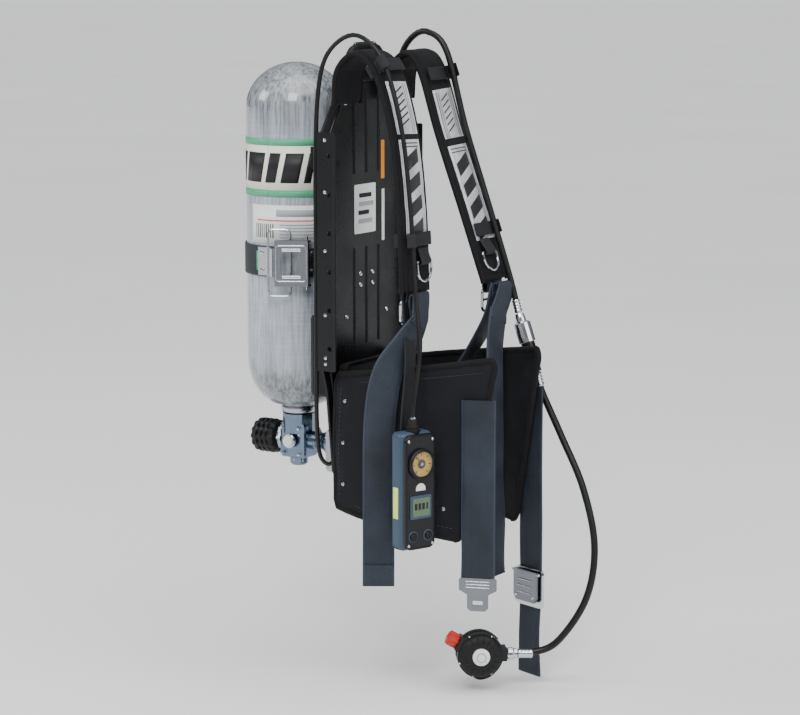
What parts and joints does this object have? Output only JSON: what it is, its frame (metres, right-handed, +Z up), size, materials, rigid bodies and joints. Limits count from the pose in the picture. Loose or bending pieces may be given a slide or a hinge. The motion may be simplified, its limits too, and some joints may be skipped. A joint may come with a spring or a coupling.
{
  "type": "self-contained breathing apparatus",
  "caption": "Compressed-air breathing set: wrapped cylinder on a back carrier, with padded harness, open waist belt, shoulder console and face-piece regulator.",
  "frame": {"origin": "on the cylinder's axis at the middle of its shell, where a storage clip grips it", "axes": "+Z up along the cylinder, -Y towards the wearer (harness side), +X the wearer's left"},
  "size_m": [0.2672, 0.5009, 0.8641],
  "materials": {
    "aluminium": "satin",
    "black_fabric": "woven",
    "black_plastic": "fine moulded grain",
    "brass": "nickel tarnish",
    "lens": "clear polycarbonate",
    "navy_fabric": "herringbone webbing",
    "red_plastic": "gloss moulding",
    "rubber": "matt",
    "slate_plastic": "satin moulding",
    "steel": "bright plated steel",
    "white_plastic": "satin",
    "wrap": "clear resin over fibre wrap"
  },
  "bodies": {
    "root": {"adjuster_left": "steel", "adjuster_right": "steel", "alarm_housing": "black_plastic", "band_anchor": "black_plastic", "band_catch": "steel", "buckle_frame": "steel", "buckle_tongue": "steel", "carrier_plate": "black_plastic", "carry_handle": "rubber", "console_bezel": "black_plastic", "console_case": "slate_plastic", "console_cover": "black_plastic", "console_lens": "lens", "cylinder_band": "black_fabric", "cylinder_gauge_case": "brass", "cylinder_liner": "aluminium", "cylinder_shell": "wrap", "gauge_hose": "rubber", "hose_plug": "black_plastic", "hose_socket": "steel", "hose_swivel": "steel", "latch_base": "steel", "latch_pin": "steel", "lower_saddle": "black_plastic", "lower_strap_left": "navy_fabric", "lower_strap_right": "navy_fabric", "lumbar_pad": "black_fabric", "power_module": "black_plastic", "reducer_body": "aluminium", "reducer_cap": "steel", "regulator_body": "black_plastic", "regulator_cover": "rubber", "regulator_hose": "rubber", "regulator_outlet": "black_plastic", "shoulder_pad_left": "black_fabric", "shoulder_pad_right": "black_fabric", "side_rail_left": "black_plastic", "side_rail_right": "black_plastic", "strap_tail_left": "navy_fabric", "strap_tail_right": "navy_fabric", "supply_hose": "rubber", "upper_saddle": "black_plastic", "valve_body": "steel", "waist_belt_left": "navy_fabric", "waist_belt_right": "navy_fabric", "waist_wing_left": "black_fabric", "waist_wing_right": "black_fabric"},
    "handwheel": {"valve_handwheel": "rubber"},
    "cylinder_needle": {"cylinder_gauge_needle": "red_plastic"},
    "nut": {"coupling_nut": "steel"},
    "lever": {"band_lever": "steel"},
    "bail": {"band_bail": "steel"},
    "dial_needle": {"console_needle": "black_plastic"},
    "button_1": {"console_button_1": "rubber"},
    "button_2": {"console_button_2": "rubber"},
    "purge_button": {"regulator_button": "white_plastic"},
    "red_knob": {"bypass_knob": "red_plastic"},
    "buckle_lift": {"buckle_cover": "steel"},
    "ring_right": {"d_ring_right": "steel"},
    "ring_left": {"d_ring_left": "steel"}
  },
  "joints": [
    {"name": "valve_turn", "type": "hinge", "parent": "root", "child": "handwheel", "pos_m": [0, 0, -0.284], "axis": [0, 1, 0], "range_deg": [0, 720]},
    {"name": "cylinder_needle_sweep", "type": "hinge", "parent": "root", "child": "cylinder_needle", "pos_m": [0.0288, 0, -0.284], "axis": [1, 0, 0], "range_deg": [0, 250]},
    {"name": "nut_spin", "type": "hinge", "parent": "root", "child": "nut", "pos_m": [0, 0, -0.284], "axis": [0, 1, 0], "continuous": true},
    {"name": "lever_open", "type": "hinge", "parent": "root", "child": "lever", "pos_m": [-0.06028, -0.05559, -0.03], "axis": [0, 0, 1], "range_deg": [0, 90]},
    {"name": "bail_swing", "type": "hinge", "parent": "lever", "child": "bail", "pos_m": [-0.07128, -0.03654, -0.03], "axis": [0, 0, 1], "range_deg": [-75, 0]},
    {"name": "dial_needle_sweep", "type": "hinge", "parent": "root", "child": "dial_needle", "pos_m": [-0.13381, -0.28174, -0.268], "axis": [0.3584, 0.9336, 0], "range_deg": [-230, 0]},
    {"name": "button_1_press", "type": "slide", "parent": "root", "child": "button_1", "axis": [0.3584, 0.9336, 0], "range_m": [0, 0.002], "stiffness_N_per_m": 300},
    {"name": "button_2_press", "type": "slide", "parent": "root", "child": "button_2", "axis": [0.3584, 0.9336, 0], "range_m": [0, 0.002], "stiffness_N_per_m": 300},
    {"name": "purge_press", "type": "slide", "parent": "root", "child": "purge_button", "axis": [0.788, 0.6157, 0], "range_m": [0, 0.003], "stiffness_N_per_m": 300},
    {"name": "bypass_turn", "type": "hinge", "parent": "root", "child": "red_knob", "pos_m": [-0.03024, -0.27399, -0.52775], "axis": [-0.5332, 0.6824, 0.5], "range_deg": [0, 180]},
    {"name": "buckle_lift_turn", "type": "hinge", "parent": "root", "child": "buckle_lift", "pos_m": [0.06235, -0.32613, -0.445], "axis": [0.3355, 0.9421, 0], "range_deg": [0, 75]},
    {"name": "ring_right_swing", "type": "hinge", "parent": "root", "child": "ring_right", "pos_m": [-0.068, -0.24447, -0.01454], "axis": [1, 0, 0], "range_deg": [-80, 0]},
    {"name": "ring_left_swing", "type": "hinge", "parent": "root", "child": "ring_left", "pos_m": [0.068, -0.26281, -0.01379], "axis": [1, 0, 0], "range_deg": [-80, 0]}
  ],
  "couplings": [
    {"joint": "bail_swing", "follows": "lever_open", "ratio": -0.8}
  ]
}
